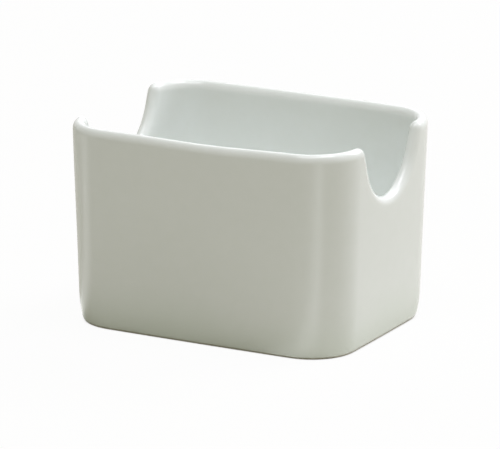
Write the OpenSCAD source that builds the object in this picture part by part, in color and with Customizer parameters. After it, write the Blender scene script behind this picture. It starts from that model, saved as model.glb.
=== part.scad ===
// Holder for sugar packets: an open porcelain box with a finger notch in each end wall.
// X runs along the length, Z is up, and the origin is on the table under the middle of the holder.
//
// A place in the wall is given by three numbers: w, the way round the rim from the middle of an
// end wall; z, the height; and d, the depth below the glazed outside. wall_point() bends that flat
// picture of the wall round the plan, so that the notches, their shoulders and the round rim are
// drawn once, on the flat, and come out true on bowed walls and on the corners.

/* [Body] */
// Length over the end walls at the rim, as if no notch were cut
body_length = 96; // [90:0.5:105]
// Width over the long walls at the rim
body_width = 73; // [71:0.5:80]
// Height from the table to the rim
body_height = 62; // [56:0.5:70]
// How far each wall leans out between foot and rim
wall_lean = 2.2; // [1:0.1:3]
// Outside radius of the upright corners at the rim
corner_radius = 16; // [14:0.25:17]
// Outside radius of the upright corners at the foot
foot_corner_radius = 15; // [13:0.25:16]
// How far a long wall swells out in its middle at the rim
long_wall_bow = 0.8; // [0.4:0.1:1.4]
// How far an end wall swells out in its middle at the rim
end_wall_bow = 0.4; // [0.2:0.1:0.8]

/* [Walls and floor] */
// Wall thickness at the rim, glaze included
rim_wall = 4; // [3.2:0.1:4.8]
// Wall thickness at the foot, glaze included
foot_wall = 4.6; // [3.6:0.1:5.4]
// Floor thickness, glaze included
floor_thickness = 4.5; // [3:0.1:7]
// Radius inside, between walls and floor
floor_radius = 6; // [3:0.25:8]

/* [Finger notches] */
// Width at the rim of the notch in the right end wall, at +X
right_notch_width = 35.5; // [33:0.5:40]
// Width at the rim of the notch in the left end wall, which is the wider one
left_notch_width = 42.5; // [38:0.5:44]
// Depth of both notches below the rim
notch_depth = 18.5; // [16:0.5:21]
// Steepness of the notches' sides, in degrees
notch_side_angle = 69; // [66:1:73]
// Radius of the shoulders between notch and rim
notch_shoulder = 3; // [2.75:0.25:5]

/* [Foot] */
// Height of the curve that draws the outside in towards the table
foot_curve_height = 9; // [6:0.5:11]
// How far that curve draws the outside in
foot_curve_inset = 1.5; // [1:0.1:2.5]
// Height above the table at which the glaze stops
glaze_stop_height = 0.35; // [0.2:0.05:0.6]
// Width of the bare ring that the holder stands on
foot_ring_width = 3; // [2:0.25:5]
// Height of the recess inside the foot ring
recess_height = 1.4; // [0.8:0.1:2.5]
// Run of the slope that leads from the foot ring into the recess
recess_slope = 1.2; // [0.6:0.1:2.5]

/* [Glaze] */
// Thickness of the fired glaze
glaze_thickness = 0.3; // [0.2:0.05:0.45]

/* [Hidden] */

// Share of the rim's bow that a wall still has at the foot
foot_bow_share = 0.25;

// Steps round a quarter of the plan: notch bottom, notch side, shoulder, corner, long wall
bottom_steps = 6;
side_steps = 2;
shoulder_steps = 4;
corner_steps = 7;
long_steps = 3;
// Steps up the profile: foot curve, plain walls, round rim, floor radius
foot_steps = 4;
wall_steps = 2;
rim_steps = 8;
floor_steps = 4;

function radians(angle) = angle * PI / 180;
function between(first, last, share) = first + (last - first) * share;

// How far the outline stands in from the rim's at height z, and the bow of its walls there
function lean_at(z) = wall_lean * (1 - z / body_height);
function bow_share(z) = foot_bow_share + (1 - foot_bow_share) * z / body_height;
function end_bow(z) = end_wall_bow * bow_share(z);
function long_bow(z) = long_wall_bow * bow_share(z);
function wall_at(z) = rim_wall + (foot_wall - rim_wall) * (1 - z / body_height);
function corner_at(z) = foot_corner_radius + (corner_radius - foot_corner_radius) * z / body_height;

// Centre of a corner's radius in the first quarter, at height z
function corner_centre(z) = [
    body_length / 2 - lean_at(z) - corner_at(z) - end_bow(z),
    body_width / 2 - lean_at(z) - corner_at(z) - long_bow(z)
];

// A bowed wall is an arc over a half chord: the angle it turns through and its radius
function bow_angle(half_chord, bow) = 2 * atan(bow / half_chord);
function bow_radius(half_chord, bow) = half_chord / sin(bow_angle(half_chord, bow));

// Lengths along the rim of half an end wall and of a corner, and the quarter's whole length
rim_centre = corner_centre(body_height);
end_angle = bow_angle(rim_centre.y, end_wall_bow);
long_angle = bow_angle(rim_centre.x, long_wall_bow);
end_run = (bow_radius(rim_centre.y, end_wall_bow) + corner_radius) * radians(end_angle);
corner_run = corner_radius * radians(90 - end_angle - long_angle);
long_run = (bow_radius(rim_centre.x, long_wall_bow) + corner_radius) * radians(long_angle);
quarter_run = end_run + corner_run + long_run;

// Plan point of the first quarter at share u of an end wall, a corner or a long wall
function end_point(u, z, d) =
    let (c = corner_centre(z), turn = bow_angle(c.y, end_bow(z)))
    let (big = bow_radius(c.y, end_bow(z)), a = u * turn, out = corner_at(z) - d)
    [c.x + big * (cos(a) - cos(turn)) + out * cos(a), (big + out) * sin(a)];

function corner_point(u, z, d) =
    let (c = corner_centre(z), first = bow_angle(c.y, end_bow(z)))
    let (last = 90 - bow_angle(c.x, long_bow(z)))
    let (a = between(first, last, u), out = corner_at(z) - d)
    [c.x + out * cos(a), c.y + out * sin(a)];

function long_point(u, z, d) =
    let (c = corner_centre(z), turn = bow_angle(c.x, long_bow(z)))
    let (big = bow_radius(c.x, long_bow(z)), a = (1 - u) * turn, out = corner_at(z) - d)
    [(big + out) * sin(a), c.y + big * (cos(a) - cos(turn)) + out * cos(a)];

// The point of the first quarter at w along the rim, height z and depth d
function wall_point(w, z, d) =
    let (p = w <= end_run ? end_point(w / end_run, z, d)
        : w <= end_run + corner_run ? corner_point((w - end_run) / corner_run, z, d)
        : long_point((w - end_run - corner_run) / long_run, z, d))
    [p.x, p.y, z];

// The round rim has its centre half a wall below its top. That centre line runs along the rim,
// over the shoulder, down the side and round the bottom of the notch.
rim_radius = rim_wall / 2;
shoulder_centre_z = body_height - notch_shoulder;
corner_end = end_run + corner_run;

// Radius round the bottom of a notch that its width, its depth and its sloping sides leave
function notch_radius(width) =
    (width / 2 - notch_depth / tan(notch_side_angle))
    / (sin(notch_side_angle) - (1 - cos(notch_side_angle)) / tan(notch_side_angle));

// A station of that line: its w, its height, and the way out of the wall's edge along w and z
function bottom_station(width, a) =
    let (radius = notch_radius(width))
    [
        (radius + rim_radius) * sin(a),
        body_height - notch_depth + radius - (radius + rim_radius) * cos(a),
        -sin(a),
        cos(a)
    ];
function shoulder_centre_w(width) = width / 2 + notch_shoulder * tan(notch_side_angle / 2);
function shoulder_station(width, a) = [
    shoulder_centre_w(width) - (notch_shoulder - rim_radius) * sin(a),
    shoulder_centre_z + (notch_shoulder - rim_radius) * cos(a),
    -sin(a),
    cos(a)
];
function rim_station(w) = [w, body_height - rim_radius, 0, 1];

// All stations from the middle of an end wall, whose notch is this wide, to that of a long wall
function stations(width) =
    let (side_foot = bottom_station(width, notch_side_angle))
    let (side_head = shoulder_station(width, notch_side_angle))
    let (corner_start = shoulder_centre_w(width))
    [
        for (i = [0 : bottom_steps]) bottom_station(width, notch_side_angle * i / bottom_steps),
        for (i = [1 : side_steps - 1]) between(side_foot, side_head, i / side_steps),
        for (i = [0 : shoulder_steps]) shoulder_station(width, notch_side_angle * (1 - i / shoulder_steps)),
        for (i = [1 : corner_steps]) rim_station(between(corner_start, corner_end, i / corner_steps)),
        for (i = [1 : long_steps]) rim_station(between(corner_end, quarter_run, i / long_steps))
    ];
right_stations = stations(right_notch_width);
left_stations = stations(left_notch_width);
quarter_count = len(right_stations) - 1;
ring_count = 4 * quarter_count;

// Place k round the ring: its quarter, whether that is at the left end, its station, and a point
// of the first quarter turned over into it
function quarter(k) = floor(k / quarter_count) % 4;
function at_left(k) = quarter(k) == 1 || quarter(k) == 2;
function station_at(k) =
    let (along = k % quarter_count, i = quarter(k) % 2 == 0 ? along : quarter_count - along)
    at_left(k) ? left_stations[i] : right_stations[i];
function placed(k, p) = [
    p.x * (at_left(k) ? -1 : 1),
    p.y * (quarter(k) > 1 ? -1 : 1),
    p.z
];

// Rings round the holder. skin is the depth below the glazed surface: nothing for the surface
// itself, and the glaze's thickness for the clay under it.
function foot_ring(angle, skin) = [
    for (k = [0 : ring_count - 1])
        placed(k, wall_point(station_at(k)[0],
            foot_centre_z - (foot_curve_height - skin) * sin(angle),
            foot_curve_inset - (foot_curve_inset - skin) * cos(angle)))
];
function outer_wall_ring(share, skin) = [
    for (k = [0 : ring_count - 1])
        placed(k, wall_point(station_at(k)[0], between(foot_centre_z, station_at(k)[1], share), skin))
];
function rim_ring(angle, skin) = [
    for (k = [0 : ring_count - 1])
        let (s = station_at(k), half_wall = wall_at(s[1]) / 2, edge = (rim_radius - skin) * sin(angle))
        placed(k, wall_point(s[0] + edge * s[2], s[1] + edge * s[3],
            half_wall - (half_wall - skin) * cos(angle)))
];
function inner_wall_ring(share, skin) = [
    for (k = [0 : ring_count - 1])
        let (z = between(station_at(k)[1], floor_centre_z, share))
        placed(k, wall_point(station_at(k)[0], z, wall_at(z) - skin))
];
function floor_ring(angle, skin) = [
    for (k = [0 : ring_count - 1])
        placed(k, wall_point(station_at(k)[0],
            floor_centre_z - (floor_radius + skin) * sin(angle),
            wall_at(floor_centre_z) + floor_radius - (floor_radius + skin) * cos(angle)))
];
function flat_ring(z, d) = [
    for (k = [0 : ring_count - 1]) placed(k, wall_point(station_at(k)[0], z, d))
];

// The foot's curve is a quarter of an ellipse: the height where it starts, and how far round it
// the glaze goes
foot_centre_z = foot_curve_height - glaze_thickness;
glaze_stop_angle = asin((foot_centre_z - glaze_stop_height) / foot_curve_height);

// Height of the centre of the floor's radius, and of the recess's rings
floor_top = recess_height + floor_thickness;
floor_centre_z = floor_top + floor_radius;
ring_inner_d = foot_curve_inset + foot_ring_width;
base_glaze_z = recess_height - glaze_thickness;
function slope_d(z) = ring_inner_d + recess_slope * z / recess_height;

// The glazed run of rings, from where the glaze stops at the foot, over the rim, to the floor
function glazed_rings(skin) = [
    for (i = [0 : foot_steps]) foot_ring(glaze_stop_angle * (1 - i / foot_steps), skin),
    for (i = [1 : wall_steps]) outer_wall_ring(i / (wall_steps + 1), skin),
    for (i = [0 : rim_steps]) rim_ring(180 * i / rim_steps, skin),
    for (i = [1 : wall_steps]) inner_wall_ring(i / (wall_steps + 1), skin),
    for (i = [0 : floor_steps]) floor_ring(90 * i / floor_steps, skin)
];

// The bare clay at the foot: the recess, the ring that it stands on and the edge up to the glaze
function bare_rings() = [
    flat_ring(recess_height, slope_d(recess_height)),
    flat_ring(base_glaze_z, slope_d(base_glaze_z)),
    flat_ring(0, ring_inner_d),
    foot_ring(90, glaze_thickness),
    foot_ring((90 + glaze_stop_angle) / 2, glaze_thickness)
];

// Triangles between ring r and the next. Their diagonals turn over in every other quarter, and
// once more where turned is true: there the rings run backwards along a surface of another piece,
// and so both pieces meet in the same triangles.
function strip(r, turned) = [
    for (k = [0 : ring_count - 1])
        let (a = r * ring_count + k, b = r * ring_count + (k + 1) % ring_count)
        let (c = a + ring_count, e = b + ring_count)
        each ((quarter(k) % 2 == 0) != turned ? [[a, e, b], [a, c, e]] : [[a, c, b], [b, c, e]])
];
// Triangles from a ring that starts at point first to the point at its middle
function fan(first, middle, up) = [
    for (k = [0 : ring_count - 1])
        let (a = first + k, b = first + (k + 1) % ring_count)
        up ? [a, middle, b] : [a, b, middle]
];
function flat_list(rings) = [for (ring = rings) each ring];

// A closed skin: rings from the middle of one flat to the middle of another, turned_count of
// them running backwards along another piece
module skin_solid(rings, first_z, last_z, turned_count = 0) {
    last = len(rings) - 1;
    count = len(rings) * ring_count;
    polyhedron(
        points = concat(flat_list(rings), [[0, 0, first_z], [0, 0, last_z]]),
        faces = concat(
            fan(0, count, false),
            [for (r = [0 : last - 1]) each strip(r, r < turned_count - 1)],
            fan(last * ring_count, count + 1, true)
        ),
        convexity = 8
    );
}

// The fired clay: walls with a round rim and notches, a floor, and a bare foot ring
module porcelain_body() {
    color("Linen")
        skin_solid(concat(bare_rings(), glazed_rings(glaze_thickness)),
            recess_height, floor_top - glaze_thickness);
}

// The glaze over the outside, the rim, the notches and the inside, down to the foot's edge
module glaze_coat() {
    outside = glazed_rings(0);
    inside = glazed_rings(glaze_thickness);
    turned = [for (i = [len(inside) - 1 : -1 : 0]) inside[i]];
    color("WhiteSmoke")
        skin_solid(concat(turned, outside), floor_top - glaze_thickness, floor_top, len(turned));
}

// The glaze in the recess under the floor
module base_glaze() {
    color("WhiteSmoke")
        skin_solid([
            flat_ring(base_glaze_z, slope_d(base_glaze_z)),
            flat_ring(recess_height, slope_d(recess_height))
        ], base_glaze_z, recess_height, 2);
}

porcelain_body();
glaze_coat();
base_glaze();
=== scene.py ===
"""Glazed porcelain holder for sugar packets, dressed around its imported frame.

The clay, its glaze and the glaze under the foot follow one rule. A place in the wall is given by a
way round the rim from the middle of an end wall, a height, and a depth below the glazed outside.
Geometry Nodes bend that flat picture of the wall round the plan, so that the round rim runs on
over the shoulders and round the finger notches.
"""

import math
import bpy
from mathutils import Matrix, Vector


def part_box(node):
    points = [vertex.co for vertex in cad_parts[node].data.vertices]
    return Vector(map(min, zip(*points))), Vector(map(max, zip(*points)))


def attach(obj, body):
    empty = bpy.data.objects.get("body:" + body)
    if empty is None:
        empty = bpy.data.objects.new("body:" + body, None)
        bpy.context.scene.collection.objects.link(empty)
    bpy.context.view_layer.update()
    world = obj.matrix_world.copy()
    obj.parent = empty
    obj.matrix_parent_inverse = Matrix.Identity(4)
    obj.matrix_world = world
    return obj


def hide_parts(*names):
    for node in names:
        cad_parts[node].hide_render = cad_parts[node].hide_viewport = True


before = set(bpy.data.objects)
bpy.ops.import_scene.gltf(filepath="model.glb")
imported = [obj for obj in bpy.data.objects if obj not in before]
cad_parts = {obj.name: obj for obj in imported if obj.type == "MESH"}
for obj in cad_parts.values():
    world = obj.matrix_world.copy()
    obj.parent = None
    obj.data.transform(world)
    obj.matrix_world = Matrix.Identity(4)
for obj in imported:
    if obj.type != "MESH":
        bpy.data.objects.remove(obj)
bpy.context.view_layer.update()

from types import SimpleNamespace

import bpy
from bpy.props import FloatProperty, FloatVectorProperty, PointerProperty
from bpy.types import Operator, Panel, PropertyGroup
from mathutils import Matrix, Vector

bl_info = {
    "name": "Sugar Packet Holder",
    "version": (1, 0, 0),
    "blender": (4, 5, 0),
    "location": "View3D > Sidebar > Holder",
    "description": "A glazed porcelain holder for sugar packets in a plain white studio",
    "category": "Object",
}

MM = 0.001
BODY = "root"
# How the nodes of a tree are set out
NODES_IN_ROW = 14
NODE_STEP = (190, -210)

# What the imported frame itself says
GLAZE_LOW, GLAZE_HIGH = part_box("glaze_coat")
RECESS_LOW, RECESS_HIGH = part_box("base_glaze")
HEIGHT = GLAZE_HIGH.z
RECESS_HEIGHT = RECESS_HIGH.z
GLAZE_THICKNESS = RECESS_HIGH.z - RECESS_LOW.z
GLAZE_STOP_HEIGHT = GLAZE_LOW.z

# Share of the rim's bow that a wall still has at the foot
FOOT_BOW_SHARE = 0.25

# Columns in a quarter of the plan, from the middle of an end wall to that of a long wall
COLUMNS = {"bottom": 22, "side": 5, "shoulder": 9, "corner": 26, "long": 18}
QUARTER = sum(COLUMNS.values())
# Rows up the glazed profile, from the foot's edge over the rim to the middle of the floor
GLAZED_ROWS = {"foot": 12, "outer": 24, "rim": 22, "inner": 24, "floor": 12, "disc": 10}
GLAZED = sum(GLAZED_ROWS.values())
# Rows along the bare profile, from the glaze's edge at the foot to the middle of the recess
BARE_ROWS = {"edge": 5, "ring": 5, "slope": 10, "recess": 10}
BARE = sum(BARE_ROWS.values())
# Rows of the slope that the glaze in the recess leaves bare
BARE_SLOPE_ROWS = 7
# Rows that the glaze takes to round off at its own edge
BEAD_ROWS = 5
# Vertices that lie closer than this are one
SEAM = 0.002 * MM
# How far a made piece may depart from the box of the node that it stands for
FIT = 0.6 * MM

# Height at which the kiln's pull on the walls sets in, and the rise over which it grows whole
PULL_START = 2.5 * MM
PULL_RISE = 12 * MM
# Place along the front rim where it sags most, and how far the sag reaches either way
SAG_PLACE = 3 * MM
SAG_REACH = 28 * MM
# Noise strays about a quarter from its middle, and this makes a whole of it
NOISE_GAIN = 4.0

# A round-cornered line in the middle of the wall: half its straight sides, and its corner radius
MID_WALL_HALVES = (30.8 * MM, 19.3 * MM)
MID_WALL_RADIUS = 12.7 * MM
GLAZE_IOR = 1.54

FLOOR_RADIUS = 2.5
FLOOR_SIDES = 96
FLOOR_COLOUR = (0.74, 0.73, 0.68, 1.0)
# How near the foot has to be for the floor to go dark under it
GAP_REACH = 3.5 * MM
# How white the floor is to the camera, and to a gloss outside the painted pools of light
WHITE_TO_CAMERA = 0.96
WHITE_TO_GLOSS = 0.08
# Each pool of light painted on the floor, a glow that only a gloss sees and that paints bright
# bands
# of reflection on the glaze: four angles in degrees, from the front towards the right end,
# between which it comes up, stays and goes, and its strength
PAINTED_POOLS = (((22, 42, 44, 55), 1.0), ((-82, -72, -64, -54), 0.8))

LAMP_DISTANCE = 1.4
# Each lamp's name, azimuth and elevation in degrees, side in metres and setting for its power
LAMPS = (
    ("top_lamp", 107, 74, 0.50, "top_power"),
    ("front_lamp", 0, 75, 0.70, "front_power"),
    ("key_lamp", 147, 37, 0.70, "key_power"),
    ("back_lamp", 180, 38, 1.00, "back_power"),
    ("side_lamp", -150, 38, 0.90, "side_power"),
)
SENSOR_WIDTH = 36.0
# Height of the point that the camera turns round
PIVOT_HEIGHT = 32 * MM


class HolderSizes(PropertyGroup):
    """Sizes of the fired and glazed holder."""

    body_length: FloatProperty(
        name="Length", description="Over the end walls at the rim, as if no notch were cut",
        default=96 * MM, unit="LENGTH")
    body_width: FloatProperty(
        name="Width", description="Over the long walls at the rim", default=73 * MM, unit="LENGTH")
    body_height: FloatProperty(
        name="Height", description="From the table to the rim", default=HEIGHT, unit="LENGTH")
    wall_lean: FloatProperty(
        name="Wall Lean", description="How far each wall leans out between foot and rim",
        default=2.2 * MM, unit="LENGTH")
    corner_radius: FloatProperty(
        name="Corner Radius", description="Outside radius of the upright corners at the rim",
        default=16 * MM, unit="LENGTH")
    foot_corner_radius: FloatProperty(
        name="Foot Corner Radius", description="Outside radius of the upright corners at the foot",
        default=15 * MM, unit="LENGTH")
    long_wall_bow: FloatProperty(
        name="Long Wall Bow", description="How far a long wall swells out in its middle",
        default=0.8 * MM, unit="LENGTH")
    end_wall_bow: FloatProperty(
        name="End Wall Bow", description="How far an end wall swells out in its middle",
        default=0.4 * MM, unit="LENGTH")
    rim_wall: FloatProperty(
        name="Wall at Rim", description="Wall thickness at the rim, glaze included",
        default=4 * MM, unit="LENGTH")
    foot_wall: FloatProperty(
        name="Wall at Foot", description="Wall thickness at the foot, glaze included",
        default=4.6 * MM, unit="LENGTH")
    floor_thickness: FloatProperty(
        name="Floor Thickness", description="Floor thickness, glaze included",
        default=4.5 * MM, unit="LENGTH")
    floor_radius: FloatProperty(
        name="Floor Radius", description="Radius inside, between walls and floor",
        default=6 * MM, unit="LENGTH")
    right_notch_width: FloatProperty(
        name="Right Notch Width", description="Width at the rim of the notch at +X",
        default=35.5 * MM, unit="LENGTH")
    left_notch_width: FloatProperty(
        name="Left Notch Width", description="Width at the rim of the notch at -X",
        default=42.5 * MM, unit="LENGTH")
    notch_depth: FloatProperty(
        name="Notch Depth", description="Depth of both notches below the rim",
        default=18.5 * MM, unit="LENGTH")
    notch_side_angle: FloatProperty(
        name="Notch Side Angle", description="Steepness of the notches' sides",
        default=math.radians(69), unit="ROTATION")
    notch_shoulder: FloatProperty(
        name="Notch Shoulder", description="Radius of the shoulders between notch and rim",
        default=3 * MM, unit="LENGTH")
    foot_curve_height: FloatProperty(
        name="Foot Curve Height", description="Height of the curve that draws the outside in",
        default=9 * MM, unit="LENGTH")
    foot_curve_inset: FloatProperty(
        name="Foot Curve Inset", description="How far that curve draws the outside in",
        default=1.5 * MM, unit="LENGTH")
    glaze_stop_height: FloatProperty(
        name="Glaze Stop Height", description="Height above the table at which the glaze stops",
        default=GLAZE_STOP_HEIGHT, unit="LENGTH")
    foot_ring_width: FloatProperty(
        name="Foot Ring Width", description="Width of the bare ring that the holder stands on",
        default=3 * MM, unit="LENGTH")
    recess_height: FloatProperty(
        name="Recess Height", description="Height of the recess inside the foot ring",
        default=RECESS_HEIGHT, unit="LENGTH")
    recess_slope: FloatProperty(
        name="Recess Slope", description="Run of the slope from the foot ring into the recess",
        default=1.2 * MM, unit="LENGTH")
    rim_softness: FloatProperty(
        name="Rim Softness", description="How far below the round rim its curve still runs on",
        default=0.8 * MM, unit="LENGTH")
    glaze_thickness: FloatProperty(
        name="Glaze Thickness", description="Thickness of the fired glaze",
        default=GLAZE_THICKNESS, unit="LENGTH")
    warp: FloatProperty(
        name="Warp", description="How far firing has pulled the walls out of true",
        default=0.06 * MM, unit="LENGTH")
    warp_wave: FloatProperty(
        name="Warp Wave", description="How far apart the hollows of that warp lie",
        default=34 * MM, unit="LENGTH")
    rim_slump: FloatProperty(
        name="Rim Slump", description="How far the front rim has sunk at its left end in the kiln",
        default=0.45 * MM, unit="LENGTH")
    rim_sag: FloatProperty(
        name="Rim Sag", description="How far the front rim has sunk near its middle in the kiln",
        default=0.5 * MM, unit="LENGTH")


class HolderFinish(PropertyGroup):
    """Colours and gloss of the glaze and the bare clay."""

    glaze_colour: FloatVectorProperty(
        name="Glaze Colour", description="Colour of the glaze over the walls",
        subtype="COLOR", size=3, min=0, max=1, default=(0.908, 0.94, 0.929))
    # Pooled glaze with painted shade of the foot in it, darker and greener near the foot; the
    # mottle takes this colour too
    pooled_and_shade_colour: FloatVectorProperty(
        name="Pooled Glaze and Painted Shade Colour", description="Colour where the glaze ran thick",
        subtype="COLOR", size=3, min=0, max=1, default=(0.828, 0.882, 0.835))
    thin_colour: FloatVectorProperty(
        name="Thin Glaze Colour", description="Colour where the glaze drew thin",
        subtype="COLOR", size=3, min=0, max=1, default=(0.918, 0.947, 0.935))
    speck_colour: FloatVectorProperty(
        name="Speck Colour", description="Colour of the iron specks under the glaze",
        subtype="COLOR", size=3, min=0, max=1, default=(0.30, 0.27, 0.20))
    glaze_roughness: FloatProperty(
        name="Glaze Roughness", description="How blurred the glaze's reflections are",
        default=0.22, min=0, max=1, subtype="FACTOR")
    clay_colour: FloatVectorProperty(
        name="Clay Colour", description="Colour of the bare fired clay",
        subtype="COLOR", size=3, min=0, max=1, default=(0.74, 0.71, 0.63))
    scuff_colour: FloatVectorProperty(
        name="Scuff Colour", description="Colour of the marks that tables leave on the foot ring",
        subtype="COLOR", size=3, min=0, max=1, default=(0.42, 0.41, 0.38))


class HolderStudio(PropertyGroup):
    """The photographer's place and lamps."""

    azimuth: FloatProperty(
        name="Azimuth", description="Where the camera stands round the holder",
        default=math.radians(27.92), unit="ROTATION")
    elevation: FloatProperty(
        name="Elevation", description="How high the camera stands",
        default=math.radians(15.46), unit="ROTATION")
    roll: FloatProperty(
        name="Roll", description="Tilt of the camera about its own line of sight",
        default=math.radians(0.22), unit="ROTATION")
    distance: FloatProperty(
        name="Distance", description="From the camera to the middle of the holder",
        default=1.457, unit="LENGTH")
    lens: FloatProperty(
        name="Lens", description="Focal length of the camera", default=349.4, unit="CAMERA")
    aim_right: FloatProperty(
        name="Aim Right", description="How far right of the middle the camera aims",
        default=-0.06 * MM, unit="LENGTH")
    aim_up: FloatProperty(
        name="Aim Up", description="How far above the middle the camera aims",
        default=-3.28 * MM, unit="LENGTH")
    room_light: FloatProperty(
        name="Room Light", description="Strength of the even light from all round", default=0.13)
    room_colour: FloatVectorProperty(
        name="Room Colour", description="Colour of that light, as warm walls throw it back",
        subtype="COLOR", size=3, min=0, max=1, default=(1.0, 0.96, 0.42))
    lamp_colour: FloatVectorProperty(
        name="Lamp Colour", description="Colour of the lamps, a little cooler than the room",
        subtype="COLOR", size=3, min=0, max=1, default=(0.936, 0.934, 1.0))
    top_power: FloatProperty(
        name="Top Lamp", description="Power of the soft lamp high on the right",
        default=7.5, unit="POWER")
    front_power: FloatProperty(
        name="Front Lamp", description="Power of the soft lamp high in front",
        default=6.5, unit="POWER")
    key_power: FloatProperty(
        name="Key Lamp", description="Power of the soft lamp behind, to the right",
        default=9.3, unit="POWER")
    back_power: FloatProperty(
        name="Back Lamp", description="Power of the soft lamp straight behind",
        default=1.2, unit="POWER")
    side_power: FloatProperty(
        name="Side Lamp", description="Power of the soft lamp behind, to the left",
        default=1.9, unit="POWER")


class Amount:
    """A number in a node tree. Python's signs join it to others with Math nodes."""

    def __init__(self, tree, socket):
        self.tree = tree
        self.socket = socket

    def __add__(self, other):
        return reckon(self.tree, "ADD", self, other)

    def __radd__(self, other):
        return reckon(self.tree, "ADD", other, self)

    def __sub__(self, other):
        return reckon(self.tree, "SUBTRACT", self, other)

    def __rsub__(self, other):
        return reckon(self.tree, "SUBTRACT", other, self)

    def __mul__(self, other):
        return reckon(self.tree, "MULTIPLY", self, other)

    def __rmul__(self, other):
        return reckon(self.tree, "MULTIPLY", other, self)

    def __truediv__(self, other):
        return reckon(self.tree, "DIVIDE", self, other)

    def __rtruediv__(self, other):
        return reckon(self.tree, "DIVIDE", other, self)

    def __neg__(self):
        return reckon(self.tree, "MULTIPLY", self, -1.0)


def feed(tree, socket, value):
    """Puts a number, a colour or another node's output into a socket."""
    if isinstance(value, Amount):
        tree.links.new(value.socket, socket)
    else:
        socket.default_value = value


def placed_node(tree, kind):
    """A new node, set out in rows so that the tree can be read."""
    node = tree.nodes.new(kind)
    row, place = divmod(len(tree.nodes), NODES_IN_ROW)
    node.location = (NODE_STEP[0] * place, NODE_STEP[1] * row)
    return node


def reckon(tree, operation, *values, clamp=False):
    """A Math node and its result."""
    node = placed_node(tree, "ShaderNodeMath")
    node.operation = operation
    node.use_clamp = clamp
    for socket, value in zip(node.inputs, values):
        feed(tree, socket, value)
    return Amount(tree, node.outputs[0])


def sine(angle):
    return reckon(angle.tree, "SINE", angle)


def cosine(angle):
    return reckon(angle.tree, "COSINE", angle)


def tangent(angle):
    return reckon(angle.tree, "TANGENT", angle)


def arcsine(share):
    return reckon(share.tree, "ARCSINE", share)


def root(value):
    return reckon(value.tree, "SQRT", value)


def size_of(value):
    return reckon(value.tree, "ABSOLUTE", value)


def one_if_over(value, limit):
    return reckon(value.tree, "GREATER_THAN", value, limit)


def share_of(value, start, length):
    """How much of a stretch a value has run through, from 0 to 1."""
    return reckon(value.tree, "DIVIDE", value - start, length, clamp=True)


def eased(share):
    """A share that sets off and arrives gently."""
    return share * share * (3.0 - 2.0 * share)


def mapped(value, low, high, first=0.0, last=1.0):
    """A Map Range node from low and high to first and last, eased and held at both ends."""
    node = placed_node(value.tree, "ShaderNodeMapRange")
    node.interpolation_type = "SMOOTHSTEP"
    for socket, amount in zip(node.inputs, (value, low, high, first, last)):
        feed(value.tree, socket, amount)
    return Amount(value.tree, node.outputs[0])


def axes_of(place):
    """The x, y and z of a place."""
    node = placed_node(place.tree, "ShaderNodeSeparateXYZ")
    feed(place.tree, node.inputs[0], place)
    return [Amount(place.tree, socket) for socket in node.outputs]


def vertex_place(tree):
    """Where a vertex lies."""
    return Amount(tree, placed_node(tree, "GeometryNodeInputPosition").outputs[0])


def surface_place(tree):
    """Where a point of a surface lies on its object."""
    return Amount(tree, placed_node(tree, "ShaderNodeTexCoord").outputs["Object"])


# The plan of the walls and where the notches' edge runs on them


def lean_at(size, z):
    return size.wall_lean * (1.0 - z / size.body_height)


def wall_at(size, z):
    return size.rim_wall + (size.foot_wall - size.rim_wall) * (1.0 - z / size.body_height)


def corner_at(size, z):
    at_rim = z / size.body_height
    return size.foot_corner_radius + (size.corner_radius - size.foot_corner_radius) * at_rim


def plan_at(size, z):
    """How the plan turns at height z: the bowed end wall, the corner and the bowed long wall."""
    bow_share = FOOT_BOW_SHARE + (1 - FOOT_BOW_SHARE) * (z / size.body_height)
    end_bow = size.end_wall_bow * bow_share
    long_bow = size.long_wall_bow * bow_share
    inset = lean_at(size, z) + corner_at(size, z)
    centre_x = size.body_length * 0.5 - inset - end_bow
    centre_y = size.body_width * 0.5 - inset - long_bow
    end_turn = 2.0 * reckon(z.tree, "ARCTAN2", end_bow, centre_y)
    long_turn = 2.0 * reckon(z.tree, "ARCTAN2", long_bow, centre_x)
    return SimpleNamespace(
        end_turn=end_turn,
        long_turn=long_turn,
        corner_turn=math.pi / 2 - end_turn - long_turn,
        end_arc=centre_y / sine(end_turn),
        long_arc=centre_x / sine(long_turn),
    )


def rim_runs(size):
    """Lengths along the rim of half an end wall, of a corner and of half a long wall."""
    rim = plan_at(size, size.body_height)
    end = (rim.end_arc + size.corner_radius) * rim.end_turn
    corner = size.corner_radius * rim.corner_turn
    along = (rim.long_arc + size.corner_radius) * rim.long_turn
    return SimpleNamespace(end=end, corner=corner, along=along, quarter=end + corner + along)


def wall_point(size, runs, w, z, d):
    """Plan place in the first quarter at w along the rim, height z and depth d."""
    plan = plan_at(size, z)
    end_angle = plan.end_turn * share_of(w, 0.0, runs.end)
    corner_angle = plan.corner_turn * share_of(w, runs.end, runs.corner)
    left_angle = plan.long_turn * (1.0 - share_of(w, runs.end + runs.corner, runs.along))
    angle = end_angle + corner_angle + plan.long_turn - left_angle
    out = corner_at(size, z) - d
    x = plan.end_arc * (cosine(end_angle) - cosine(plan.end_turn))
    x = x + plan.long_arc * sine(left_angle) + out * cosine(angle)
    y = plan.long_arc * (cosine(left_angle) - cosine(plan.long_turn))
    y = y + plan.end_arc * sine(end_angle) + out * sine(angle)
    return x, y


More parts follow.
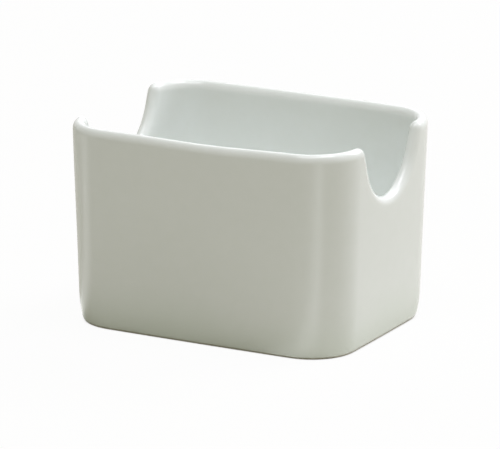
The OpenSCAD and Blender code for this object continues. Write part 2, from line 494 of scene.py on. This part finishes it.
def notch_edge(size, runs, column, width):
    """Centre line of the round rim at a column: its w, its height and the way out of the edge."""
    # Radius of the notch's bottom that lets its straight sides meet the rim at the given width
    angle = size.notch_side_angle
    radius = width * 0.5 - size.notch_depth / tangent(angle)
    radius = radius / (sine(angle) - (1.0 - cosine(angle)) / tangent(angle))

    # Radii of the centre line round the bottom and the shoulder, and its run up the straight side
    rim_radius = size.rim_wall * 0.5
    bottom = radius + rim_radius
    shoulder = size.notch_shoulder - rim_radius
    bottom_z = size.body_height - size.notch_depth + radius
    shoulder_w = width * 0.5 + size.notch_shoulder * tangent(angle * 0.5)
    side_w = shoulder_w - shoulder * sine(angle) - bottom * sine(angle)
    side_z = size.body_height - size.notch_shoulder + shoulder * cosine(angle)
    side_z = side_z - (bottom_z - bottom * cosine(angle))

    # Share of each stretch that lies before the column
    starts = {}
    start = 0
    for name, count in COLUMNS.items():
        starts[name] = start
        start += count
    along = {name: share_of(column, starts[name], COLUMNS[name]) for name in COLUMNS}

    bottom_angle = angle * along["bottom"]
    shoulder_angle = angle * (1.0 - along["shoulder"])
    w = bottom * sine(bottom_angle) + side_w * along["side"]
    w = w + shoulder * (sine(angle) - sine(shoulder_angle))
    w = w + (runs.end + runs.corner - shoulder_w) * along["corner"] + runs.along * along["long"]
    z = bottom_z - bottom * cosine(bottom_angle) + side_z * along["side"]
    z = z + shoulder * (cosine(shoulder_angle) - cosine(angle))
    return w, z, bottom_angle + shoulder_angle - angle


def row_shares(row):
    """Share of each stretch of the profile at a row, which is below 0 on the bare clay."""
    shares = {}
    start = 0
    for name, count in GLAZED_ROWS.items():
        shares[name] = share_of(row, start, count)
        start += count
    start = 0
    for name, count in BARE_ROWS.items():
        shares[name] = share_of(-row, start, count)
        start += count
    return SimpleNamespace(**shares)


def skin_place(size, column, row, skin):
    """Place on the holder at a column of the whole plan and a row of the profile, at depth skin."""
    tree = column.tree
    in_quarter = reckon(tree, "PINGPONG", column, QUARTER)
    at_left = one_if_over(QUARTER - size_of(column - 2 * QUARTER), 0.0)
    at_front = one_if_over(column, 2 * QUARTER)
    wider = size.left_notch_width - size.right_notch_width
    notch_width = size.right_notch_width + at_left * wider
    runs = rim_runs(size)
    edge_w, edge_z, edge_angle = notch_edge(size, runs, in_quarter, notch_width)
    at = row_shares(row)

    # The plain walls: up the outside from the foot's curve to the rim, and down the inside
    foot_z = size.foot_curve_height - size.glaze_thickness
    floor_z = size.recess_height + size.floor_thickness + size.floor_radius
    even_w = runs.quarter * in_quarter / QUARTER
    w = even_w + (edge_w - even_w) * (at.outer - at.inner)
    z = foot_z + (edge_z - foot_z) * at.outer + (floor_z - edge_z) * at.inner
    d = skin

    # The curve that draws the outside in at the foot: the glaze stops on it, and bare clay runs on
    stop_angle = arcsine((foot_z - size.glaze_stop_height) / size.foot_curve_height)
    foot_angle = stop_angle * (1.0 - at.foot * at.foot)
    foot_angle = foot_angle + (math.pi / 2 - stop_angle) * at.edge
    z = z - (size.foot_curve_height - skin) * sine(foot_angle)
    d = d + (size.foot_curve_inset - skin) * (1.0 - cosine(foot_angle))

    # The bare foot ring and the slope into the recess
    d = d + size.foot_ring_width * at.ring + size.recess_slope * at.slope
    z = z + size.recess_height * eased(at.slope)
    z = z + (skin - size.glaze_thickness) * one_if_over(at.slope, 0.0)

    # The round rim, square to its centre line, and its soft run into the wall
    rim_angle = math.pi * at.rim
    out_of_edge = (size.rim_wall * 0.5 - skin) * sine(rim_angle)
    out_of_edge = out_of_edge - size.rim_softness * (at.outer - at.inner) * (1.0 - sine(rim_angle))
    w = w - out_of_edge * sine(edge_angle)
    z = z + out_of_edge * cosine(edge_angle)
    d = d + (wall_at(size, edge_z) * 0.5 - skin) * (1.0 - cosine(rim_angle))
    taper = (size.foot_wall - size.rim_wall) / size.body_height
    d = d + taper * (edge_z - floor_z) * at.inner

    # The radius between walls and floor
    floor_angle = math.pi / 2 * at.floor
    z = z - (size.floor_radius + skin) * sine(floor_angle)
    d = d + (size.floor_radius + skin) * (1.0 - cosine(floor_angle))

    # The floor and the recess close in on the middle, and the first quarter serves all four
    x, y = wall_point(size, runs, w, z, d)
    inward = (1.0 - at.disc) * (1.0 - at.recess)
    x = x * inward * (1.0 - 2.0 * at_left)
    y = y * inward * (1.0 - 2.0 * at_front)
    node = placed_node(tree, "ShaderNodeCombineXYZ")
    for socket, value in zip(node.inputs, (x, y, z)):
        feed(tree, socket, value)
    return Amount(tree, node.outputs[0])


def glaze_depth(size, in_sight, rows_in):
    """Depth of the glaze's skin: its thickness against the clay, and nought on the face in sight.

    That face rounds off in a bead at the glaze's own edge, rows_in rows away.
    """
    from_edge = share_of(rows_in, 0.0, BEAD_ROWS)
    gap = 1.0 - from_edge * from_edge
    bead = size.glaze_thickness * (1.0 - root(1.0 - gap * gap))
    return size.glaze_thickness + in_sight * (bead - size.glaze_thickness)


# The pieces


SIZE_INPUTS = (
    "body_length", "body_width", "body_height", "wall_lean", "corner_radius",
    "foot_corner_radius", "long_wall_bow", "end_wall_bow", "rim_wall", "foot_wall",
    "floor_thickness", "floor_radius", "right_notch_width", "left_notch_width", "notch_depth",
    "notch_side_angle", "notch_shoulder", "foot_curve_height", "foot_curve_inset",
    "glaze_stop_height", "foot_ring_width", "recess_height", "recess_slope", "rim_softness",
    "glaze_thickness", "warp", "warp_wave", "rim_slump", "rim_sag",
)


def skin_tree(name, rows, row_and_skin):
    """A node tree that makes one closed skin. row_and_skin gives the profile of each grid row."""
    tree = bpy.data.node_groups.new(name, "GeometryNodeTree")
    tree.interface.new_socket("Geometry", in_out="OUTPUT", socket_type="NodeSocketGeometry")
    for key in SIZE_INPUTS:
        label = HolderSizes.bl_rna.properties[key].name
        tree.interface.new_socket(label, in_out="INPUT", socket_type="NodeSocketFloat")
    tree.interface.new_socket("Material", in_out="INPUT", socket_type="NodeSocketMaterial")
    given = placed_node(tree, "NodeGroupInput")
    size = SimpleNamespace(
        **{key: Amount(tree, socket) for key, socket in zip(SIZE_INPUTS, given.outputs)})

    grid = placed_node(tree, "GeometryNodeMeshGrid")
    grid.inputs["Size X"].default_value = 1.0
    grid.inputs["Size Y"].default_value = 1.0
    grid.inputs["Vertices X"].default_value = 4 * QUARTER + 1
    grid.inputs["Vertices Y"].default_value = rows + 1
    across, up, _ = axes_of(vertex_place(tree))
    column = reckon(tree, "ROUND", (across + 0.5) * (4 * QUARTER))
    grid_row = reckon(tree, "ROUND", (up + 0.5) * rows)
    row, skin = row_and_skin(size, grid_row)

    bend = placed_node(tree, "GeometryNodeSetPosition")
    tree.links.new(grid.outputs["Mesh"], bend.inputs["Geometry"])
    feed(tree, bend.inputs["Position"], skin_place(size, column, row, skin))
    close = placed_node(tree, "GeometryNodeMergeByDistance")
    tree.links.new(bend.outputs[0], close.inputs["Geometry"])
    close.inputs["Distance"].default_value = SEAM
    warp = placed_node(tree, "GeometryNodeSetPosition")
    tree.links.new(close.outputs[0], warp.inputs["Geometry"])
    feed(tree, warp.inputs["Offset"], kiln_warp(tree, size))

    smooth = placed_node(tree, "GeometryNodeSetShadeSmooth")
    tree.links.new(warp.outputs[0], smooth.inputs["Geometry"])
    real = placed_node(tree, "GeometryNodeRealizeInstances")
    tree.links.new(smooth.outputs[0], real.inputs["Geometry"])
    finish = placed_node(tree, "GeometryNodeSetMaterial")
    tree.links.new(real.outputs[0], finish.inputs["Geometry"])
    tree.links.new(given.outputs["Material"], finish.inputs["Material"])
    result = placed_node(tree, "NodeGroupOutput")
    tree.links.new(finish.outputs[0], result.inputs["Geometry"])
    return tree


def kiln_warp(tree, size):
    """The waves and the slump that firing leaves in the walls. They fade out towards the foot."""
    here = vertex_place(tree)
    x, y, z = axes_of(here)
    above_foot = eased(share_of(z, PULL_START, PULL_RISE))

    waves = placed_node(tree, "ShaderNodeTexNoise")
    feed(tree, waves.inputs["Vector"], here)
    feed(tree, waves.inputs["Scale"], 1.0 / size.warp_wave)
    waves.inputs["Detail"].default_value = 0.0
    centred = placed_node(tree, "ShaderNodeVectorMath")
    centred.operation = "SUBTRACT"
    tree.links.new(waves.outputs["Color"], centred.inputs[0])
    centred.inputs[1].default_value = (0.5, 0.5, 0.5)
    scaled = placed_node(tree, "ShaderNodeVectorMath")
    scaled.operation = "SCALE"
    tree.links.new(centred.outputs[0], scaled.inputs[0])
    feed(tree, scaled.inputs["Scale"], size.warp * above_foot * NOISE_GAIN)

    in_front = eased(share_of(-y, size.body_width * -0.5, size.body_width))
    slump = size.rim_slump * (x / (size.body_length * 0.5))
    near_sag = eased(1.0 - share_of(size_of(x - SAG_PLACE), 0.0, SAG_REACH))
    slump = slump - size.rim_sag * near_sag
    lifted = placed_node(tree, "ShaderNodeCombineXYZ")
    feed(tree, lifted.inputs["Z"], slump * in_front * above_foot * (z / size.body_height))
    both = placed_node(tree, "ShaderNodeVectorMath")
    both.operation = "ADD"
    tree.links.new(scaled.outputs[0], both.inputs[0])
    tree.links.new(lifted.outputs[0], both.inputs[1])
    return Amount(tree, both.outputs[0])


def made_piece(context, name, tree, material):
    """A plain mesh object from a skin tree fed with the panel's sizes."""
    piece = bpy.data.objects.new(name, bpy.data.meshes.new(name))
    context.scene.collection.objects.link(piece)
    modifier = piece.modifiers.new(tree.name, "NODES")
    modifier.node_group = tree
    sockets = {item.name: item.identifier for item in tree.interface.items_tree
               if item.in_out == "INPUT"}
    sizes = context.scene.holder_sizes
    for key in SIZE_INPUTS:
        modifier[sockets[HolderSizes.bl_rna.properties[key].name]] = getattr(sizes, key)
    modifier[sockets["Material"]] = material
    depsgraph = context.evaluated_depsgraph_get()
    depsgraph.update()
    mesh = bpy.data.meshes.new_from_object(piece.evaluated_get(depsgraph), depsgraph=depsgraph)
    piece.modifiers.clear()
    piece.data = mesh
    mesh.name = name
    return piece


def seat_piece(piece, node):
    """Lets a piece stand for its CAD node, once it is sure that it fills the same space."""
    low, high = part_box(node)
    for axis, letter in enumerate("XYZ"):
        places = [vertex.co[axis] for vertex in piece.data.vertices]
        if abs(min(places) - low[axis]) > FIT or abs(max(places) - high[axis]) > FIT:
            raise RuntimeError(f"{piece.name} doesn't fill the space of {node} along {letter}")
    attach(piece, BODY)
    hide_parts(node)


# Materials


def new_material(name):
    """A material with a shader, and the place on the piece that its patterns read."""
    material = bpy.data.materials.new(name)
    material.use_nodes = True
    tree = material.node_tree
    shader = tree.nodes["Principled BSDF"]
    return material, tree, shader, surface_place(tree)


def noise(place, wave, detail, seed):
    """Soft noise from 0 to 1 whose swells lie about wave metres apart."""
    node = placed_node(place.tree, "ShaderNodeTexNoise")
    node.noise_dimensions = "4D"
    feed(place.tree, node.inputs["Vector"], place)
    node.inputs["W"].default_value = seed
    node.inputs["Scale"].default_value = 1.0 / wave
    node.inputs["Detail"].default_value = detail
    return Amount(place.tree, node.outputs[0])


def dots(place, spacing, radius, kept_share):
    """One where a scattered dot lies, else nought. Only a share of the cells has its dot."""
    node = placed_node(place.tree, "ShaderNodeTexVoronoi")
    node.feature = "F1"
    feed(place.tree, node.inputs["Vector"], place)
    node.inputs["Scale"].default_value = 1.0 / spacing
    pick = placed_node(place.tree, "ShaderNodeSeparateColor")
    place.tree.links.new(node.outputs["Color"], pick.inputs[0])
    kept = one_if_over(Amount(place.tree, pick.outputs[0]), 1 - kept_share)
    reach = radius / spacing
    near = mapped(Amount(place.tree, node.outputs["Distance"]), 0.4 * reach, reach, 1.0, 0.0)
    return near * kept


def mixed(tree, share, first, second):
    """A colour between two others."""
    node = placed_node(tree, "ShaderNodeMix")
    node.data_type = "RGBA"
    feed(tree, node.inputs[0], share)
    for socket, colour in zip(node.inputs[6:8], (first, second)):
        feed(tree, socket, colour if isinstance(colour, Amount) else (*colour, 1.0))
    return Amount(tree, node.outputs[2])


def bumped(tree, shader, height):
    """Feeds a height in metres to the shader's normal."""
    bump = placed_node(tree, "ShaderNodeBump")
    bump.inputs["Strength"].default_value = 1.0
    bump.inputs["Distance"].default_value = 1.0
    feed(tree, bump.inputs["Height"], height)
    tree.links.new(bump.outputs[0], shader.inputs["Normal"])


def outside(x, y):
    """One on the outside of the walls and nought on the inside, told by the middle of the wall."""
    x = reckon(x.tree, "MAXIMUM", size_of(x) - MID_WALL_HALVES[0], 0.0)
    y = reckon(y.tree, "MAXIMUM", size_of(y) - MID_WALL_HALVES[1], 0.0)
    return one_if_over(root(x * x + y * y), MID_WALL_RADIUS)


def glaze_material(finish):
    """Off-white porcelain glaze: cloudy, darker and greener towards the foot from pooled glaze and
    painted shade, specked, with a soft gloss.
    """
    material, tree, shader, place = new_material("porcelain_glaze")
    x, y, z = axes_of(place)
    clouds = mapped(noise(place, 26 * MM, detail=0.0, seed=1.7), 0.2, 0.8)
    mottle = mapped(noise(place, 3.2 * MM, detail=2.0, seed=5.1), 0.3, 0.7)
    # Pooled glaze and painted shade of the foot, on the outside only: strongest below 3 mm, gone
    # above 20 mm, a little lower where a cloud lies
    foot_shade_and_pool = mapped(z + 5 * MM * clouds, 3 * MM, 20 * MM, 0.75, 0.0) * outside(x, y)
    specks = dots(place, spacing=17 * MM, radius=0.34 * MM, kept_share=0.16)
    pinholes = dots(place, spacing=7 * MM, radius=0.16 * MM, kept_share=0.30)

    colour = mixed(tree, 0.45 * clouds, finish.glaze_colour, finish.thin_colour)
    # Painted shade of the foot, together with pooled glaze, darkens and greens the outside near the
    # foot
    colour = mixed(tree, foot_shade_and_pool, colour, finish.pooled_and_shade_colour)
    colour = mixed(tree, 0.10 * mottle, colour, finish.pooled_and_shade_colour)
    colour = mixed(tree, 0.55 * specks, colour, finish.speck_colour)
    colour = mixed(tree, 0.25 * pinholes, colour, finish.speck_colour)
    feed(tree, shader.inputs["Base Color"], colour)

    wiped = noise(place, 18 * MM, detail=4.0, seed=9.3)
    rough = mapped(wiped, 0.3, 0.75, finish.glaze_roughness * 0.85, finish.glaze_roughness * 1.15)
    feed(tree, shader.inputs["Roughness"], rough + 0.2 * pinholes)
    shader.inputs["IOR"].default_value = GLAZE_IOR

    peel = 0.004 * MM * noise(place, 2.4 * MM, detail=1.0, seed=3.3)
    swell = 0.020 * MM * noise(place, 11 * MM, detail=1.0, seed=6.4)
    bumped(tree, shader, peel + swell - 0.03 * MM * pinholes)
    return material


def clay_material(finish):
    """Bare fired clay: fine grain, a sanded foot ring and the grey marks of table tops."""
    material, tree, shader, place = new_material("fired_clay")
    grain = noise(place, 0.5 * MM, detail=3.0, seed=2.2)
    clouds = noise(place, 9 * MM, detail=3.0, seed=4.8)
    # Scuffs run one way, seven times as long as they are wide, and only where the ring is flat
    stretched = placed_node(tree, "ShaderNodeMapping")
    feed(tree, stretched.inputs["Vector"], place)
    stretched.inputs["Rotation"].default_value = (0.0, 0.0, 0.6)
    stretched.inputs["Scale"].default_value = (1.0, 7.0, 1.0)
    strokes = noise(Amount(tree, stretched.outputs[0]), 6 * MM, detail=5.0, seed=7.7)
    on_ring = mapped(axes_of(place)[2], 0.0, 0.25 * MM, 1.0, 0.0)
    scuffs = mapped(strokes, 0.56, 0.72, 0.0, 0.6) * on_ring

    dark = [0.86 * part for part in finish.clay_colour]
    colour = mixed(tree, 0.6 * clouds, finish.clay_colour, dark)
    colour = mixed(tree, 0.35 * mapped(grain, 0.35, 0.7), colour, dark)
    colour = mixed(tree, scuffs, colour, finish.scuff_colour)
    feed(tree, shader.inputs["Base Color"], colour)
    feed(tree, shader.inputs["Roughness"], 0.92 - 0.25 * scuffs)
    shader.inputs["Specular IOR Level"].default_value = 0.3
    bumped(tree, shader, 0.03 * MM * grain + 0.02 * MM * clouds)
    return material


def shared_material(context, name, make):
    """The material of that name, made on first use."""
    return bpy.data.materials.get(name) or make(context.scene.holder_finish)


# The studio


def ray_shares(tree):
    """One for the rays of the camera, and one for those that see the room in a gloss."""
    path = placed_node(tree, "ShaderNodeLightPath")
    camera, glossy, through = (
        Amount(tree, path.outputs[ray])
        for ray in ("Is Camera Ray", "Is Glossy Ray", "Is Transmission Ray"))
    return camera, reckon(tree, "MAXIMUM", glossy, through)


def white_room(studio):
    """A world that shows white and lights the holder evenly from all round."""
    world = bpy.data.worlds.new("white_room")
    bpy.context.scene.world = world
    world.use_nodes = True
    tree = world.node_tree
    background = tree.nodes["Background"]
    camera, glossy = ray_shares(tree)
    seen = reckon(tree, "MAXIMUM", camera, glossy)
    feed(tree, background.inputs["Color"], mixed(tree, seen, studio.room_colour, (1.0, 1.0, 1.0)))
    feed(tree, background.inputs["Strength"], studio.room_light + (1 - studio.room_light) * seen)


def floor_gap(tree):
    """One where the floor lies close under the foot, and nought in the clear."""
    node = placed_node(tree, "ShaderNodeAmbientOcclusion")
    node.samples = 8
    node.inputs["Distance"].default_value = GAP_REACH
    return mapped(Amount(tree, node.outputs["AO"]), 0.05, 0.45, 1.0, 0.0)


def painted_light_pools(tree):
    """How much painted light glows on the floor, in front at the right and off the left end."""
    x, y, _ = axes_of(surface_place(tree))
    way = reckon(tree, "ARCTAN2", x, -y)
    light = []
    for angles, strength in PAINTED_POOLS:
        first, full, last, gone = (math.radians(angle) for angle in angles)
        coming = mapped(way, first, full, 0.0, strength)
        light.append(coming * mapped(way, last, gone, 1.0, 0.0))
    return light[0] + light[1]


def pale_floor():
    """A round white floor that keeps the holder's faint shadow and goes dark where it touches."""
    mesh = bpy.data.meshes.new("floor")
    turns = [2 * math.pi * side / FLOOR_SIDES for side in range(FLOOR_SIDES)]
    ring = [(FLOOR_RADIUS * math.cos(turn), FLOOR_RADIUS * math.sin(turn), 0.0) for turn in turns]
    mesh.from_pydata(ring, [], [list(range(FLOOR_SIDES))])
    floor = bpy.data.objects.new("floor", mesh)
    bpy.context.scene.collection.objects.link(floor)
    material = bpy.data.materials.new("white_floor")
    material.use_nodes = True
    tree = material.node_tree
    paint = tree.nodes["Principled BSDF"]
    paint.inputs["Base Color"].default_value = FLOOR_COLOUR
    paint.inputs["Roughness"].default_value = 0.9
    paint.inputs["Specular IOR Level"].default_value = 0.0
    glow = placed_node(tree, "ShaderNodeEmission")
    mix = placed_node(tree, "ShaderNodeMixShader")
    camera, glossy = ray_shares(tree)
    # Painted light: pools on the floor glow up to twice as bright, seen only in a gloss, and paint
    # bright reflections on the glaze
    painted_pools = painted_light_pools(tree)
    in_gloss = (WHITE_TO_GLOSS + (1 - WHITE_TO_GLOSS) * painted_pools) * glossy
    feed(tree, glow.inputs["Strength"], 1.0 + painted_pools * glossy)
    feed(tree, mix.inputs[0], (1.0 - floor_gap(tree)) * (WHITE_TO_CAMERA * camera + in_gloss))
    tree.links.new(paint.outputs[0], mix.inputs[1])
    tree.links.new(glow.outputs[0], mix.inputs[2])
    tree.links.new(mix.outputs[0], tree.nodes["Material Output"].inputs["Surface"])
    mesh.materials.append(material)


def way_from_middle(azimuth, elevation):
    """Way out from the holder. Azimuth 0 is before its long wall, and pi / 2 off its right end."""
    return Vector((math.sin(azimuth) * math.cos(elevation),
                   -math.cos(azimuth) * math.cos(elevation),
                   math.sin(elevation)))


def soft_lamp(name, azimuth, elevation, side, power, colour):
    """A square area lamp that looks at the middle of the holder, its angles in degrees."""
    light = bpy.data.lights.new(name, "AREA")
    light.shape = "SQUARE"
    light.size = side
    light.energy = power
    light.color = colour
    lamp = bpy.data.objects.new(name, light)
    bpy.context.scene.collection.objects.link(lamp)
    way = way_from_middle(math.radians(azimuth), math.radians(elevation))
    lamp.location = Vector((0.0, 0.0, 0.5 * HEIGHT)) + LAMP_DISTANCE * way
    lamp.rotation_mode = "QUATERNION"
    lamp.rotation_quaternion = (-way).to_track_quat("-Z", "Y")


def photographer(studio):
    """The camera, at the photograph's place."""
    azimuth, elevation, roll = studio.azimuth, studio.elevation, studio.roll
    back = way_from_middle(azimuth, elevation)
    level = Vector((math.cos(azimuth), math.sin(azimuth), 0.0))
    upright = back.cross(level)
    right = level * math.cos(roll) + upright * math.sin(roll)
    up = upright * math.cos(roll) - level * math.sin(roll)
    lens = bpy.data.cameras.new("camera")
    lens.sensor_width = SENSOR_WIDTH
    lens.lens = studio.lens
    lens.clip_start = 0.05
    lens.clip_end = 20.0
    camera = bpy.data.objects.new("camera", lens)
    bpy.context.scene.collection.objects.link(camera)
    pivot = Vector((0.0, 0.0, PIVOT_HEIGHT))
    place = pivot + back * studio.distance + level * studio.aim_right + upright * studio.aim_up
    turn = Matrix((right, up, back)).transposed().to_4x4()
    camera.matrix_world = Matrix.Translation(place) @ turn
    bpy.context.scene.camera = camera


# Operators, panel and registration


class HOLDER_OT_clay_body(Operator):
    """Make the fired clay: walls, notches, floor and bare foot ring"""

    bl_idname = "holder.clay_body"
    bl_label = "Clay Body"

    def execute(self, context):
        def row_and_skin(size, grid_row):
            return grid_row - BARE, size.glaze_thickness

        tree = skin_tree("Clay Body Skin", BARE + GLAZED, row_and_skin)
        clay = shared_material(context, "fired_clay", clay_material)
        piece = made_piece(context, "clay_body", tree, clay)
        seat_piece(piece, "porcelain_body")
        return {"FINISHED"}


class HOLDER_OT_glaze(Operator):
    """Make the glaze over the outside, the rim, the notches and the inside"""

    bl_idname = "holder.glaze"
    bl_label = "Glaze"

    def execute(self, context):
        def row_and_skin(size, grid_row):
            row = size_of(grid_row - GLAZED)
            in_sight = one_if_over(grid_row, GLAZED)
            return row, glaze_depth(size, in_sight, rows_in=row)

        tree = skin_tree("Glaze Skin", 2 * GLAZED, row_and_skin)
        glaze = shared_material(context, "porcelain_glaze", glaze_material)
        piece = made_piece(context, "glaze_skin", tree, glaze)
        seat_piece(piece, "glaze_coat")
        return {"FINISHED"}


class HOLDER_OT_base_glaze(Operator):
    """Make the glaze in the recess under the floor"""

    bl_idname = "holder.base_glaze"
    bl_label = "Base Glaze"

    def execute(self, context):
        edge_row = -(BARE_ROWS["edge"] + BARE_ROWS["ring"] + BARE_SLOPE_ROWS)
        rows = BARE + edge_row

        def row_and_skin(size, grid_row):
            row = edge_row - size_of(grid_row - rows)
            in_sight = one_if_over(rows - grid_row, 0.0)
            return row, glaze_depth(size, in_sight, rows_in=edge_row - row)

        tree = skin_tree("Base Glaze Skin", 2 * rows, row_and_skin)
        glaze = shared_material(context, "porcelain_glaze", glaze_material)
        piece = made_piece(context, "base_glaze_pool", tree, glaze)
        seat_piece(piece, "base_glaze")
        return {"FINISHED"}


class HOLDER_OT_studio(Operator):
    """Set up the white room, the floor, the lamps and the camera"""

    bl_idname = "holder.studio"
    bl_label = "Studio"

    def execute(self, context):
        studio = context.scene.holder_studio
        context.scene.view_settings.view_transform = "Standard"
        white_room(studio)
        pale_floor()
        for name, azimuth, elevation, side, power in LAMPS:
            soft_lamp(name, azimuth, elevation, side, getattr(studio, power), studio.lamp_colour)
        photographer(studio)
        return {"FINISHED"}


class HOLDER_PT_panel(Panel):
    """Sizes, finish and studio of the holder"""

    bl_idname = "HOLDER_PT_panel"
    bl_label = "Sugar Packet Holder"
    bl_space_type = "VIEW_3D"
    bl_region_type = "UI"
    bl_category = "Holder"

    def draw(self, context):
        for title, group in GROUPS.items():
            box = self.layout.box()
            box.label(text=title)
            settings = getattr(context.scene, group)
            for key in settings.bl_rna.properties.keys():
                if key not in ("rna_type", "name"):
                    box.prop(settings, key)
        for operator in OPERATORS:
            self.layout.operator(operator.bl_idname)


GROUPS = {"Sizes": "holder_sizes", "Finish": "holder_finish", "Studio": "holder_studio"}
OPERATORS = (HOLDER_OT_clay_body, HOLDER_OT_glaze, HOLDER_OT_base_glaze, HOLDER_OT_studio)
CLASSES = (HolderSizes, HolderFinish, HolderStudio, *OPERATORS, HOLDER_PT_panel)


def register():
    for item in CLASSES:
        bpy.utils.register_class(item)
    bpy.types.Scene.holder_sizes = PointerProperty(type=HolderSizes)
    bpy.types.Scene.holder_finish = PointerProperty(type=HolderFinish)
    bpy.types.Scene.holder_studio = PointerProperty(type=HolderStudio)


def unregister():
    for group in GROUPS.values():
        delattr(bpy.types.Scene, group)
    for item in reversed(CLASSES):
        bpy.utils.unregister_class(item)


def main():
    """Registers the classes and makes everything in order."""
    register()
    bpy.ops.holder.clay_body()
    bpy.ops.holder.glaze()
    bpy.ops.holder.base_glaze()
    bpy.ops.holder.studio()


if __name__ == "__main__":
    main()
